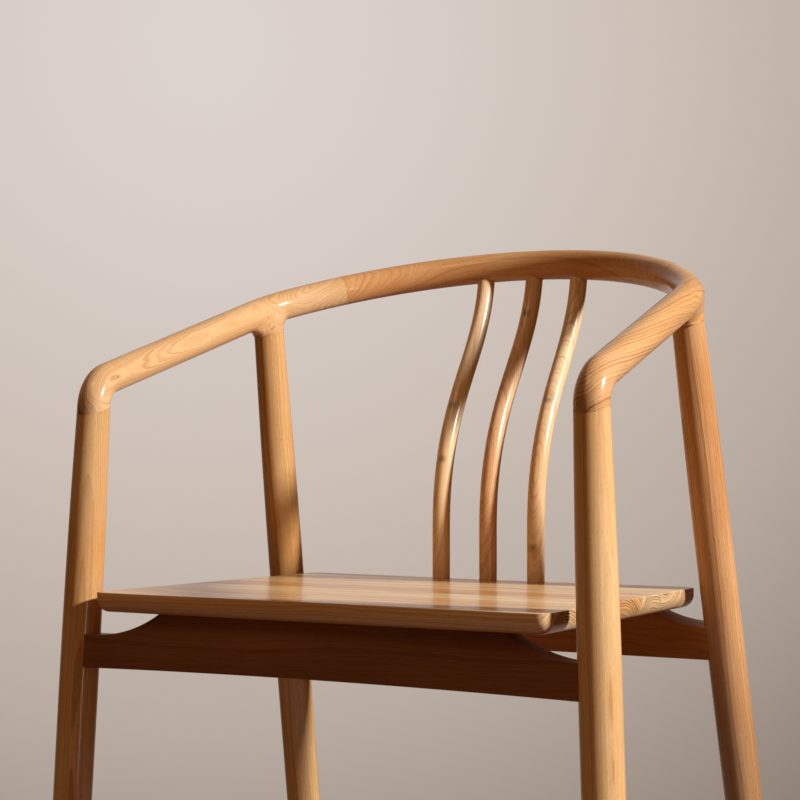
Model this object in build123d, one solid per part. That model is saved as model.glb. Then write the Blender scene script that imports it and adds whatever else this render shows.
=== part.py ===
from build123d import *
import math
import os

# Horseshoe back armchair in solid wood. Millimetres, +Z up.
# The floor is z = 0, the chair faces -Y, and the origin lies under the middle of its outline.
# Left and right are as seen from the front, so the right-hand pieces lie at +X.

# ---- bow: the round rail that runs from elbow to elbow, all in one sloping plane
bow_radius = 14.6              # radius of the round section
bow_slope = 17.82              # degrees that the bow's plane rises towards the back
bow_run = 383.8                # level distance from the elbows back to the middle of the back rail
arm_splay = 5.29               # degrees that each arm opens towards the front
arm_straight = 235.2           # straight part of an arm, from the elbow's corner backwards
bow_corner_radius = 100.0      # centre line of the bend over the back leg
back_rail_half_length = 201.6  # along the centre line, from the middle to each seam

# ---- elbow: where an arm bends down on to its front leg
elbow_x = 254.3                # corner where the arm's centre line turns down
elbow_back = 16.8              # how far that corner lies behind the front foot
elbow_height = 626.3
elbow_bend_radius = 30.0       # centre line of the bend
elbow_drop = 22.3              # from the corner down to the seam on the leg

# ---- boss: the carved stub under the bow that stands on the back leg
boss_place = 0.541             # where the leg meets the corner bend, from the bend's back end
boss_drop = 21.7               # from the bow's centre line down to the seam on the leg
boss_heel_radius = 28.0        # centre line of the heel that curves backwards into the bow
boss_end_radius = 14.2         # radius of the stub and the heel where they have sunk into the bow
leg_inset = 2.6                # the legs' centre lines pass this far inside the bow's

# ---- legs: turned, with a long swell
front_foot_x = 280.0
front_leg_foot_radius = 16.4
front_leg_radius = 17.8
front_leg_top_radius = 15.2
front_leg_thickest = 360.0     # distance of the thickest place from the foot
back_foot_x = 255.0
foot_spread = 392.7            # from the front feet back to the back feet
back_leg_foot_radius = 15.6
back_leg_radius = 17.3
back_leg_top_radius = 14.9
back_leg_thickest = 428.0
leg_collar = 9.0               # from the seam down to where the turning ends
foot_bevel = 1.5

# ---- seat: seven boards glued edge to edge, running from side to side
seat_height = 440.0            # top of the seat
seat_thickness = 18.0
seat_overhang = 14.9           # how far the seat reaches in front of the front feet's middle
seat_front_width = 459.6
seat_back_width = 420.6
seat_board_widths = (53.0, 47.0, 47.0, 52.0, 45.0, 45.0, 46.0)
seat_edge_radius = 12.0        # rounding of the lower edges
seat_arris_radius = 0.8        # softened upper edges

# ---- aprons: boards between the legs, each in the plane of its two legs, hung under the seat
apron_thickness = 24.0
front_apron_depth = 52.3       # from the seat's underside to the lower edge at the legs
front_apron_arch = 3.0         # rise of the lower edge at its middle
front_horn_drop = 21.7         # from the seat's underside to the narrow ends' upper edge
front_scoop_radius = 130.0
front_scoop_reach = 245.0      # from the pattern's middle to where a scoop runs level
front_pattern_shift = 8.0      # the pattern's middle lies this far to the right
back_apron_depth = 45.1
back_apron_arch = 0.0          # straight lower edge
back_horn_drop = 15.0
back_scoop_radius = 100.0
back_scoop_reach = 222.0
back_pattern_shift = 0.0

# ---- spindles: S-curved, from the seat into the back rail
spindle_radius = 8.55
spindle_spacing = 52.0
spindle_foot_inset = 17.2      # from the seat's back edge
spindle_upright = 50.0         # straight and upright above the seat
spindle_lower_pull = 0.52      # strength of the S's upright start, as a share of its rise
spindle_upper_pull = 0.37      # strength of its leaning end
spindle_top_lean = 3.8         # degrees from upright where it meets the rail

# ---- joints
joint_gap = 0.3                # glue room around tenons, dowels and scribed ends
joint_end_gap = 1.5            # room at the bottom of a mortise
leg_tenon_radius = 7.0
leg_tenon_length = 15.0
spindle_tenon_radius = 5.5
spindle_foot_tenon = 12.0
spindle_head_tenon = 9.0
apron_tenon_thickness = 8.0
apron_tenon_shoulder = 4.0     # above, below and behind the tenon
apron_tenon_short = 4.0        # how far it stays from the leg's centre line
dowel_radius = 3.5
dowel_length = 40.0
dowel_spacing = 12.0
screw_reach = 110.0            # two screws in each apron, this far from the chair's middle
screw_radius = 2.0
screw_head_radius = 4.2
screw_head_height = 2.8
screw_grip = 20.0              # wood between the head and the seat
screw_bite = 12.0              # length in the seat
screw_bore_radius = 5.0        # counterbore from below
screw_tip_length = 4.0
screw_tip_radius = 0.5

UP = Vector(0, 0, 1)
OVERRUN = 40.0                 # how far stock and tools run past the faces that they are cut by
ALL = 2000.0                   # longer than the chair in every direction


# ---------------------------------------------------------------- centre lines
slope = math.radians(bow_slope)
splay = math.radians(arm_splay)
bow_normal = Vector(0, -math.sin(slope), math.cos(slope))

overall_depth = front_leg_foot_radius + elbow_back + bow_run + bow_radius
front_foot = Vector(front_foot_x, front_leg_foot_radius - overall_depth / 2, 0)
back_foot = Vector(back_foot_x, front_foot.Y + foot_spread, 0)
elbow_corner = Vector(elbow_x, front_foot.Y + elbow_back, elbow_height)
to_legs = Vector(leg_inset, 0, 0)
bow_depth = bow_run / math.cos(slope)
bow_middle = Vector(0, elbow_corner.Y + bow_run, elbow_corner.Z + bow_depth * math.sin(slope))
seat_front_y = front_foot.Y - seat_overhang
seat_back_y = seat_front_y + sum(seat_board_widths)

# Half of the bow in its own plane is a straight arm, a corner bend and half of the back's arc. The
# arc's radius is the one that runs tangent into the corner bend and level across the middle.
arm_end_across = elbow_x - arm_straight * math.sin(splay)
arm_end_back = -bow_depth + arm_straight * math.cos(splay)
corner_across = arm_end_across - bow_corner_radius * math.cos(splay)
corner_back = arm_end_back - bow_corner_radius * math.sin(splay)
back_radius = ((bow_corner_radius**2 - corner_across**2 - corner_back**2)
               / (2 * (corner_back + bow_corner_radius)))
back_angle = math.atan2(corner_across, corner_back + back_radius)
arm_angle = math.pi / 2 - splay
seam_angle = back_rail_half_length / back_radius
boss_angle = back_angle + boss_place * (arm_angle - back_angle)


def on_bow(to_right, back):
    """Point of the bow's plane, counted from the middle of the back rail."""
    return bow_middle + Vector(to_right, back * math.cos(slope), back * math.sin(slope))


def on_back_arc(angle):
    """Point of the back's arc, at an angle from the middle."""
    return on_bow(back_radius * math.sin(angle), back_radius * (math.cos(angle) - 1))


def on_corner(angle):
    """Point of the right corner bend."""
    return on_bow(corner_across + bow_corner_radius * math.sin(angle),
                  corner_back + bow_corner_radius * math.cos(angle))


def bow_forward(angle):
    """Direction in which the right half of the bow runs towards its elbow."""
    return on_bow(math.cos(angle), -math.sin(angle)) - bow_middle


def arc_between(place, start, end):
    """Arc of a bend from one angle to another."""
    return ThreePointArc(place(start), place((start + end) / 2), place(end))


def setback(to_start, to_end, radius):
    """How far from a corner an arc of that radius begins."""
    return radius / math.tan(math.radians(to_start.get_angle(to_end)) / 2)


def carved_bend(start, to_start, end, to_end, radius):
    """Curve between two lines that may miss each other, bent like an arc of that radius."""
    turn = math.pi - math.radians(to_start.get_angle(to_end))
    handle = radius * 4 / 3 * math.tan(turn / 4)
    return Bezier(start, start - to_start * handle, end - to_end * handle, end)


def round_bar(start, direction, length, radius):
    """Round bar along a direction."""
    return extrude(Plane(origin=start, z_dir=direction) * Circle(radius), amount=length)


def mirrored(shape):
    """The same shape on the other side of the chair."""
    return mirror(shape, about=Plane.YZ)


# ---------------------------------------------------------------- legs
class Leg:
    """A right-hand leg: a turned shaft up to its collar, then a neck that the seam cuts."""

    def __init__(self, foot, top, seam_drop, foot_radius, radius, top_radius, thickest):
        self.foot = foot
        self.top = top
        self.up = (top - foot).normalized()
        self.seam = top - self.up * seam_drop
        self.collar = self.seam - self.up * leg_collar
        self.foot_radius = foot_radius
        self.radius = radius
        self.top_radius = top_radius
        self.thickest = thickest
        self.seam_plane = Plane(origin=self.seam, z_dir=bow_normal)

    def across(self, height):
        """Distance of the centre line from the chair's middle, at a height above the floor."""
        return self.foot.X + (self.top.X - self.foot.X) * height / self.top.Z

    def shaft(self, extra=0.0):
        """Turned shaft from below the floor to the collar, grown by extra all round."""
        length = (self.collar - self.foot).length
        low = self.foot_radius + extra
        thick = self.radius + extra
        high = self.top_radius + extra
        lower_side = Bezier((low, 0), (thick, self.thickest / 2), (thick, self.thickest))
        upper_side = Bezier((thick, self.thickest), (thick, (self.thickest + length) / 2), (high, length))
        rest = Polyline((high, length), (0, length), (0, -OVERRUN), (low, -OVERRUN), (low, 0))
        profile = make_face([lower_side, upper_side] + list(rest.edges()))
        upright = revolve(Plane.XZ * profile, axis=Axis.Z)
        side = Vector(1, 0, 0) - self.up * self.up.X
        return Plane(origin=self.foot, x_dir=side, z_dir=self.up) * upright

    def tenon(self, extra=0.0, longer=0.0):
        """Round tenon from the collar through the seam."""
        length = leg_collar + leg_tenon_length + longer
        return round_bar(self.collar, self.up, length, leg_tenon_radius + extra)

    def piece(self, neck, apron):
        """The whole leg: bevelled foot, shaft, its share of the carved neck, tenon and apron mortise."""
        inner = self.foot_radius - foot_bevel
        bevel = Cone(inner, inner + ALL, ALL, align=(Align.CENTER, Align.CENTER, Align.MIN))
        leg = self.shaft() & (Pos(self.foot.X, self.foot.Y, 0) * bevel)
        leg += split(neck, bisect_by=self.seam_plane, keep=Keep.BOTTOM)
        leg += self.tenon()
        return leg - apron.tenon(joint_gap, joint_end_gap)


front_leg = Leg(front_foot, elbow_corner - to_legs, elbow_drop, front_leg_foot_radius, front_leg_radius,
                front_leg_top_radius, front_leg_thickest)
back_leg = Leg(back_foot, on_corner(boss_angle) - to_legs, boss_drop, back_leg_foot_radius, back_leg_radius,
               back_leg_top_radius, back_leg_thickest)


# ---------------------------------------------------------------- bow
def elbow_start():
    """Where the straight arm ends and the elbow's bend begins."""
    backwards = bow_forward(arm_angle) * -1
    return elbow_corner + backwards * setback(backwards, front_leg.up * -1, elbow_bend_radius)


def elbow():
    """Carved bend from the end of the arm down to the front leg's collar."""
    backwards = bow_forward(arm_angle) * -1
    down = front_leg.up * -1
    start = elbow_start()
    end = front_leg.top + down * setback(backwards, down, elbow_bend_radius)
    bend = carved_bend(start, backwards, end, down, elbow_bend_radius)
    path = Wire([bend, Line(end, front_leg.collar)])
    sections = [Plane(origin=start, z_dir=backwards * -1) * Circle(bow_radius),
                Plane(origin=front_leg.collar, z_dir=down) * Circle(front_leg.top_radius)]
    return sweep(sections, path=path, multisection=True)


def boss():
    """Carved stub from the back leg's collar out into the bow, with a heel that curves backwards."""
    up = back_leg.up
    neck = round_bar(back_leg.collar, up, leg_collar, back_leg.top_radius)
    stub = loft([Plane(origin=back_leg.seam, z_dir=up) * Circle(back_leg.top_radius),
                 Plane(origin=on_corner(boss_angle), z_dir=up) * Circle(boss_end_radius)])
    backwards = bow_forward(back_angle) * -1
    start = back_leg.top - up * setback(backwards, up * -1, boss_heel_radius)
    end = on_corner(back_angle)
    bend = carved_bend(start, up * -1, end, backwards, boss_heel_radius)
    heel_path = Wire([Line(back_leg.collar, start), bend])
    heel_sections = [Plane(origin=back_leg.collar, z_dir=up) * Circle(back_leg.top_radius),
                     Plane(origin=end, z_dir=backwards) * Circle(boss_end_radius)]
    return neck + stub + sweep(heel_sections, path=heel_path, multisection=True)


def seam_dowels(extra=0.0, longer=0.0):
    """The two dowels across the right seam of the bow."""
    along = bow_forward(seam_angle)
    length = dowel_length + 2 * longer
    start = on_back_arc(seam_angle) - along * (length / 2)
    return [round_bar(start + bow_normal * (side * dowel_spacing / 2), along, length, dowel_radius + extra)
            for side in (-1, 1)]


def right_arm():
    """Arm with its elbow and boss, bored for two legs and for the seam's dowels."""
    path = Wire([arc_between(on_back_arc, seam_angle, back_angle),
                 arc_between(on_corner, back_angle, arm_angle),
                 Line(on_corner(arm_angle), elbow_start())])
    section = Plane(origin=on_back_arc(seam_angle), z_dir=bow_forward(seam_angle)) * Circle(bow_radius)
    arm = sweep(section, path=path)
    arm += split(elbow(), bisect_by=front_leg.seam_plane, keep=Keep.TOP)
    arm += split(boss(), bisect_by=back_leg.seam_plane, keep=Keep.TOP)
    for leg in (front_leg, back_leg):
        arm -= leg.tenon(joint_gap, joint_end_gap)
    for dowel in seam_dowels(joint_gap, joint_end_gap):
        arm -= dowel
    return arm


def rail_stock(extra=0.0):
    """Round stock of the back rail from seam to seam, grown by extra all round."""
    start = Plane(origin=on_back_arc(-seam_angle), z_dir=bow_forward(-seam_angle))
    path = arc_between(on_back_arc, -seam_angle, seam_angle)
    return sweep(start * Circle(bow_radius + extra), path=path)


def back_rail():
    """Middle third of the bow, bored for the spindles and the dowels."""
    rail = rail_stock()
    for step in (-1, 0, 1):
        rail -= spindle_head(step, joint_gap, joint_end_gap)
    for dowel in seam_dowels(joint_gap, joint_end_gap):
        rail = rail - dowel - mirrored(dowel)
    return rail


# ---------------------------------------------------------------- aprons
class Apron:
    """A board in the plane of its two legs. Its sizes are measured along that plane."""

    def __init__(self, leg, depth, arch, horn_drop, scoop_radius, scoop_reach, shift):
        self.leg = leg
        rake = Vector(0, leg.up.Y, leg.up.Z).normalized()
        self.plane = Plane(origin=(0, leg.foot.Y, 0), x_dir=(1, 0, 0), z_dir=Vector(1, 0, 0).cross(rake))
        self.stretch = 1 / rake.Z
        under_seat = seat_height - seat_thickness
        self.seat = under_seat * self.stretch
        self.low = (under_seat - depth) * self.stretch
        self.horn = (under_seat - horn_drop) * self.stretch
        self.arch = arch
        self.scoop_radius = scoop_radius
        self.scoop_reach = scoop_reach
        self.shift = shift

    def leg_across(self, level):
        """Distance of the leg's centre line from the chair's middle, at a level of the board."""
        return self.leg.across(level / self.stretch)

    def outline(self):
        """Face of the board: raised in the middle, with a scoop down to each narrow end."""
        low_end = self.leg_across(self.low)
        outer = low_end + OVERRUN
        turn = math.acos(1 - (self.seat + OVERRUN - self.horn) / self.scoop_radius)

        def on_scoop(side, angle):
            level = self.shift + side * self.scoop_reach
            return (level - side * self.scoop_radius * math.sin(angle),
                    self.horn + self.scoop_radius * (1 - math.cos(angle)))

        edges = [Line(on_scoop(-1, turn), on_scoop(1, turn))]
        for side in (-1, 1):
            end = Polyline(on_scoop(side, 0), (side * outer, self.horn), (side * outer, self.low),
                           (side * low_end, self.low))
            edges.append(ThreePointArc(on_scoop(side, 0), on_scoop(side, turn / 2), on_scoop(side, turn)))
            edges.extend(end.edges())
        if self.arch > 0:
            edges.append(ThreePointArc((-low_end, self.low), (0, self.low + self.arch), (low_end, self.low)))
        else:
            edges.append(Line((-low_end, self.low), (low_end, self.low)))
        return make_face(edges)

    def tenon(self, extra=0.0, longer=0.0):
        """Tenon at the right end, from inside the board into the leg, grown by extra all round."""
        low = self.low + apron_tenon_shoulder - extra
        high = self.horn - apron_tenon_shoulder + extra
        inner = self.leg_across(self.horn) - self.leg.radius - apron_tenon_shoulder
        outer = self.leg_across((low + high) / 2) - apron_tenon_short + longer
        block = Box(outer - inner, high - low, apron_tenon_thickness + 2 * extra)
        return self.plane * (Pos((inner + outer) / 2, (low + high) / 2, 0) * block)

    def piece(self):
        """Board fitted under the seat, scribed to its round legs, tenoned, and bored for its screws."""
        board = extrude(self.plane * self.outline(), amount=apron_thickness / 2, both=True)
        seat_space = Box(ALL, ALL, ALL, align=(Align.CENTER, Align.CENTER, Align.MIN))
        board -= Pos(0, 0, seat_height - seat_thickness) * seat_space
        outside = Box(ALL, ALL, ALL, align=(Align.MIN, Align.CENTER, Align.CENTER))
        for waste in (self.leg.shaft(joint_gap), Pos(self.leg_across(self.low), 0, 0) * outside):
            board = board - waste - mirrored(waste)
        board = board + self.tenon() + mirrored(self.tenon())
        for head in self.screw_heads():
            board -= round_bar(head, self.plane.y_dir, screw_grip + OVERRUN, screw_radius + joint_gap)
            board -= round_bar(head, self.plane.y_dir * -1, ALL, screw_bore_radius)
        return board

    def screw_heads(self):
        """Where the screw heads bear inside the board."""
        level = self.seat - screw_grip
        return [self.plane.from_local_coords(Vector(side * screw_reach, level, 0)) for side in (-1, 1)]


front_apron = Apron(front_leg, front_apron_depth, front_apron_arch, front_horn_drop,
                    front_scoop_radius, front_scoop_reach, front_pattern_shift)
back_apron = Apron(back_leg, back_apron_depth, back_apron_arch, back_horn_drop,
                   back_scoop_radius, back_scoop_reach, back_pattern_shift)


def screws(apron):
    """Pan head wood screws with pointed ends, up through an apron into the seat."""
    up = apron.plane.y_dir
    shank_length = screw_grip + screw_bite - screw_tip_length
    tip = Cone(screw_radius, screw_tip_radius, screw_tip_length,
               align=(Align.CENTER, Align.CENTER, Align.MIN))
    made = []
    for head in apron.screw_heads():
        screw = round_bar(head, up * -1, screw_head_height, screw_head_radius)
        screw += round_bar(head, up, shank_length, screw_radius)
        screw += Plane(origin=head + up * shank_length, z_dir=up) * tip
        made.append(screw)
    return made


# ---------------------------------------------------------------- seat
def seat_slab():
    """The glued-up seat: narrower at the back, rounded below, bored for spindles and screws."""
    front = seat_front_width / 2
    back = seat_back_width / 2
    outline = make_face(Polyline((-front, seat_front_y), (front, seat_front_y), (back, seat_back_y),
                                 (-back, seat_back_y), close=True))
    slab = Pos(0, 0, seat_height - seat_thickness) * extrude(outline, amount=seat_thickness)
    slab = fillet(slab.faces().sort_by(Axis.Z)[0].edges(), seat_edge_radius)
    slab = fillet(slab.faces().sort_by(Axis.Z)[-1].edges(), seat_arris_radius)
    for step in (-1, 0, 1):
        slab -= round_bar(spindle_foot(step), UP * -1, spindle_foot_tenon + joint_end_gap,
                          spindle_tenon_radius + joint_gap)
    for apron in (front_apron, back_apron):
        for head in apron.screw_heads():
            slab -= round_bar(head, apron.plane.y_dir, screw_grip + screw_bite + joint_gap,
                              screw_radius + joint_gap)
    return slab


def seat_boards():
    """The slab parted into its boards, from the front to the back."""
    slab = seat_slab()
    boards = []
    edge = seat_front_y
    for width in seat_board_widths:
        saw = Box(ALL, width, ALL, align=(Align.CENTER, Align.MIN, Align.CENTER))
        boards.append(slab & (Pos(0, edge, 0) * saw))
        edge += width
    return boards


# ---------------------------------------------------------------- spindles
def spindle_foot(step):
    """Where a spindle stands on the seat, counted in steps from the middle one."""
    return Vector(step * spindle_spacing, seat_back_y - spindle_foot_inset, seat_height)


def spindle_top(step):
    """Where its centre line meets the back rail's."""
    return on_back_arc(math.asin(step * spindle_spacing / back_radius))


def spindle_top_direction():
    """Direction of a spindle at its top."""
    lean = math.radians(spindle_top_lean)
    return Vector(0, math.sin(lean), math.cos(lean))


def spindle_head(step, extra=0.0, longer=0.0):
    """Round tenon from inside the spindle's end into the rail."""
    along = spindle_top_direction()
    overlap = spindle_tenon_radius
    start = spindle_top(step) - along * (bow_radius + overlap)
    return round_bar(start, along, overlap + spindle_head_tenon + longer, spindle_tenon_radius + extra)


def spindle(step):
    """S-curved spindle with a tenon at each end, its head scribed to the back rail."""
    foot = spindle_foot(step)
    top = spindle_top(step)
    bend_start = foot + UP * spindle_upright
    rise = top.Z - bend_start.Z
    curve = Bezier(bend_start, bend_start + UP * (rise * spindle_lower_pull),
                   top - spindle_top_direction() * (rise * spindle_upper_pull), top)
    path = Wire([Line(foot, bend_start), curve])
    body = sweep(Plane(origin=foot, z_dir=UP) * Circle(spindle_radius), path=path)
    body = (body - rail_stock(joint_gap)).solids().sort_by(Axis.Z)[0]
    body += round_bar(foot, UP * -1, spindle_foot_tenon, spindle_tenon_radius)
    return body + spindle_head(step)


# ---------------------------------------------------------------- all pieces
def pieces():
    """Every separate piece of the chair by name."""
    arm = right_arm()
    dowels = seam_dowels()
    parts = {"right_arm": arm, "left_arm": mirrored(arm), "back_rail": back_rail()}
    frames = (("front", front_leg, elbow(), front_apron), ("back", back_leg, boss(), back_apron))
    for name, leg, neck, apron in frames:
        right_leg = leg.piece(neck, apron)
        parts[name + "_right_leg"] = right_leg
        parts[name + "_left_leg"] = mirrored(right_leg)
        parts[name + "_apron"] = apron.piece()
    for number, board in enumerate(seat_boards(), start=1):
        parts["seat_board_" + str(number)] = board
    for name, step in (("left_spindle", -1), ("middle_spindle", 0), ("right_spindle", 1)):
        parts[name] = spindle(step)
    parts["bow_dowels"] = Compound(children=dowels + [mirrored(dowel) for dowel in dowels])
    parts["seat_screws"] = Compound(children=screws(front_apron) + screws(back_apron))
    return parts


os.makedirs("parts", exist_ok=True)
for name, shape in pieces().items():
    export_step(shape, "parts/" + name + ".step")
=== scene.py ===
# Horseshoe back armchair in lacquered hardwood. Metres, +Z up; the chair faces -Y.
# Left and right are as seen from the front, so the right-hand pieces lie at +X.
import math
import bmesh
import bpy
import numpy as np
from mathutils import Matrix, Vector


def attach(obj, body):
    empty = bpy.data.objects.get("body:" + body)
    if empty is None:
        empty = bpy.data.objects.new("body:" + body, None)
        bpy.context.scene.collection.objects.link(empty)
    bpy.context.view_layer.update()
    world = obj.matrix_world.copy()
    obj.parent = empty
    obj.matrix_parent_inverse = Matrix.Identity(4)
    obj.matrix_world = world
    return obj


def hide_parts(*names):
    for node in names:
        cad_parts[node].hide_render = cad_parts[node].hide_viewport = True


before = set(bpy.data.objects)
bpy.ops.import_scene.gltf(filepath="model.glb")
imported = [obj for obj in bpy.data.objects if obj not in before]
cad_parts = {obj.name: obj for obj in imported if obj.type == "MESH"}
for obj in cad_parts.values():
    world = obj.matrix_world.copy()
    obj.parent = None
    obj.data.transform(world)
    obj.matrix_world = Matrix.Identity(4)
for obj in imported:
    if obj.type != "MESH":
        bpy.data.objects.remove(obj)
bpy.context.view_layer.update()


# ---------------------------------------------------------------- camera, lamps, wall and floor
# A long lens looks slightly up at the chair from its front right. A small softbox stands low on the
# right, a plain wall fades from pale to darker behind, and a pale floor lies under the feet.
film_width = 36.0                      # mm, as is the lens
lens_length = 101.46
camera_place = (1.05073, -1.80072, 0.58644)
camera_tilt = math.radians(90.7214)    # from looking straight down
camera_turn = math.radians(31.123)     # from looking along +Y
scene = bpy.context.scene
scene.view_settings.view_transform = "Standard"
camera_data = bpy.data.cameras.new("camera")
camera_data.sensor_width = film_width
camera_data.lens = lens_length
camera = bpy.data.objects.new("camera", camera_data)
camera.location = camera_place
camera.rotation_euler = (camera_tilt, 0.0, camera_turn)
scene.collection.objects.link(camera)
scene.camera = camera


def area_lamp(name, aim, azimuth, height, distance, width, length, power, tint):
    """Lamp that looks at its aim. Azimuth and height are in degrees, the azimuth from +X towards +Y."""
    lamp_data = bpy.data.lights.new(name, "AREA")
    lamp_data.shape = "RECTANGLE"
    lamp_data.size = width
    lamp_data.size_y = length
    lamp_data.energy = power
    lamp_data.color = tint
    lamp = bpy.data.objects.new(name, lamp_data)
    azimuth, height = math.radians(azimuth), math.radians(height)
    way = Vector((math.cos(azimuth) * math.cos(height), math.sin(azimuth) * math.cos(height),
                  math.sin(height)))
    lamp.location = Vector(aim) + way * distance
    lamp.rotation_euler = way.to_track_quat("Z", "Y").to_euler()
    scene.collection.objects.link(lamp)
    return lamp


area_lamp("softbox", aim=(0.0, 0.05, 0.60), azimuth=0.5, height=25.5, distance=3.0,
          width=0.22, length=0.22, power=121.0, tint=(1.0, 0.98, 0.97))
# a broad, weak panel high on the left of the camera only softens the shade
area_lamp("weak_panel", aim=(0.0, 0.0, 0.60), azimuth=-105.0, height=52.0, distance=3.0,
          width=1.3, length=0.9, power=9.5, tint=(1.0, 0.68, 0.42))
# a narrow upright strip between softbox and camera only draws a pale streak in the lacquer
strip = area_lamp("gloss_strip", aim=(0.0, 0.0, 0.55), azimuth=-36.0, height=0.0, distance=2.4,
                  width=0.10, length=1.5, power=4.0, tint=(1.0, 0.93, 0.85))
strip.visible_diffuse = False


def colour(code):
    """Linear colour of an sRGB hex value such as "c08040"."""
    parts = [int(code[i:i + 2], 16) / 255 for i in (0, 2, 4)]
    return tuple(p / 12.92 if p <= 0.04045 else ((p + 0.055) / 1.055) ** 2.4 for p in parts) + (1.0,)


def add(tree, kind, inputs=(), **settings):
    """Adds a node. Inputs are filled with values or with the sockets that they are linked to."""
    made = tree.nodes.new(kind)
    for name, value in settings.items():
        setattr(made, name, value)
    for name, value in dict(inputs).items():
        if isinstance(value, bpy.types.NodeSocket):
            tree.links.new(value, made.inputs[name])
        else:
            made.inputs[name].default_value = value
    return made


wall_centre = Vector((-0.580, 0.797, 0.168)).normalized()     # the palest place of the wall
wall_tones = ((0.0, "ded4ce"), (0.10, "d8cdc6"), (0.20, "cbbfb6"), (0.30, "b8aba1"), (0.42, "8f8075"),
              (0.62, "a89c94"), (1.0, "c6bcb5"))      # by distance from there on a unit sphere
dim_start = 0.45               # behind the camera the room turns dark brown, which only shows in the gloss
dim_end = 0.95
dark_room = "2c1a0e"
fill_tone = "ffb27a"           # weak warm light that falls on the chair from all round
fill_strength = 0.097
world = bpy.data.worlds.new("studio")
world.use_nodes = True
scene.world = world
sky = world.node_tree
sky.nodes.clear()
direction = add(sky, "ShaderNodeTexCoord").outputs["Generated"]
from_centre = add(sky, "ShaderNodeVectorMath", {0: direction, 1: tuple(wall_centre)}, operation="DISTANCE")
wall = add(sky, "ShaderNodeValToRGB", {"Fac": from_centre.outputs["Value"]})
wall.color_ramp.elements.remove(wall.color_ramp.elements[0])
for distance, code in wall_tones:
    stop = wall.color_ramp.elements.new(distance) if distance < 1.0 else wall.color_ramp.elements[-1]
    stop.position = distance
    stop.color = colour(code)
dim = add(sky, "ShaderNodeMapRange", {"Value": from_centre.outputs["Value"], "From Min": dim_start,
                                      "From Max": dim_end, "To Min": 1.0, "To Max": 0.0},
          interpolation_type="SMOOTHSTEP")
ray = add(sky, "ShaderNodeLightPath")
shown = add(sky, "ShaderNodeMath", {0: ray.outputs["Is Camera Ray"], 1: dim.outputs["Result"]},
            operation="MAXIMUM")
room = add(sky, "ShaderNodeMix", {"Factor": shown.outputs[0], 6: colour(dark_room), 7: wall.outputs["Color"]},
           data_type="RGBA")
seen = add(sky, "ShaderNodeBackground", {"Color": room.outputs[2]})
fill = add(sky, "ShaderNodeBackground", {"Color": colour(fill_tone), "Strength": fill_strength})
mirrors = add(sky, "ShaderNodeMath", {0: ray.outputs["Is Camera Ray"], 1: ray.outputs["Is Glossy Ray"]},
              operation="MAXIMUM")
direct = add(sky, "ShaderNodeMath", {0: mirrors.outputs[0], 1: ray.outputs["Is Transmission Ray"]},
             operation="MAXIMUM")
both = add(sky, "ShaderNodeMixShader", {"Fac": direct.outputs[0], 1: fill.outputs[0], 2: seen.outputs[0]})
add(sky, "ShaderNodeOutputWorld", {"Surface": both.outputs[0]})

floor_radius = 1.10
floor_fade_start = 0.80        # from here the floor fades into the backdrop
floor_gap = 0.0005             # just under the feet
floor_tones = ("cdc3bb", "d8cfc8")
floor_mottle = 3.0             # soft clouds about 330 mm across
floor_roughness = 0.85
floor_bounce = "5e4028"        # tone of the light that the floor throws back at the chair
floor_mesh = bpy.data.meshes.new("floor")
disc = bmesh.new()
bmesh.ops.create_circle(disc, cap_ends=True, radius=floor_radius, segments=128)
disc.to_mesh(floor_mesh)
disc.free()
floor = bpy.data.objects.new("floor", floor_mesh)
floor.location.z = -floor_gap
scene.collection.objects.link(floor)
# Matt paint, rolled on: no shine, with faint clouds of tone.
matt_paint = bpy.data.materials.new("matt_painted_floor")
matt_paint.use_nodes = True
paint = matt_paint.node_tree
on_floor = add(paint, "ShaderNodeTexCoord").outputs["Object"]
away = add(paint, "ShaderNodeVectorMath", {0: on_floor}, operation="LENGTH")
fade = add(paint, "ShaderNodeMapRange", {"Value": away.outputs["Value"], "From Min": floor_fade_start,
                                         "From Max": floor_radius}, interpolation_type="SMOOTHSTEP")
mottle = add(paint, "ShaderNodeTexNoise", {"Vector": on_floor, "Scale": floor_mottle, "Detail": 2.0})
paint_tone = add(paint, "ShaderNodeValToRGB", {"Fac": mottle.outputs["Fac"]})
for stop, code in zip(paint_tone.color_ramp.elements, floor_tones):
    stop.color = colour(code)
paint_shader = paint.nodes["Principled BSDF"]
paint_shader.inputs["Roughness"].default_value = floor_roughness
look = add(paint, "ShaderNodeLightPath")
looked_at = add(paint, "ShaderNodeMath", {0: look.outputs["Is Camera Ray"], 1: look.outputs["Is Glossy Ray"]},
                operation="MAXIMUM")
paint_seen = add(paint, "ShaderNodeMix", {"Factor": looked_at.outputs[0], 6: colour(floor_bounce),
                                          7: paint_tone.outputs["Color"]}, data_type="RGBA")
paint.links.new(paint_seen.outputs[2], paint_shader.inputs["Base Color"])
clear = add(paint, "ShaderNodeBsdfTransparent")
faded = add(paint, "ShaderNodeMixShader", {"Fac": fade.outputs["Result"], 1: paint_shader.outputs[0],
                                           2: clear.outputs[0]})
paint.links.new(faded.outputs[0], paint.nodes["Material Output"].inputs["Surface"])
floor_mesh.materials.append(matt_paint)


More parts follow.
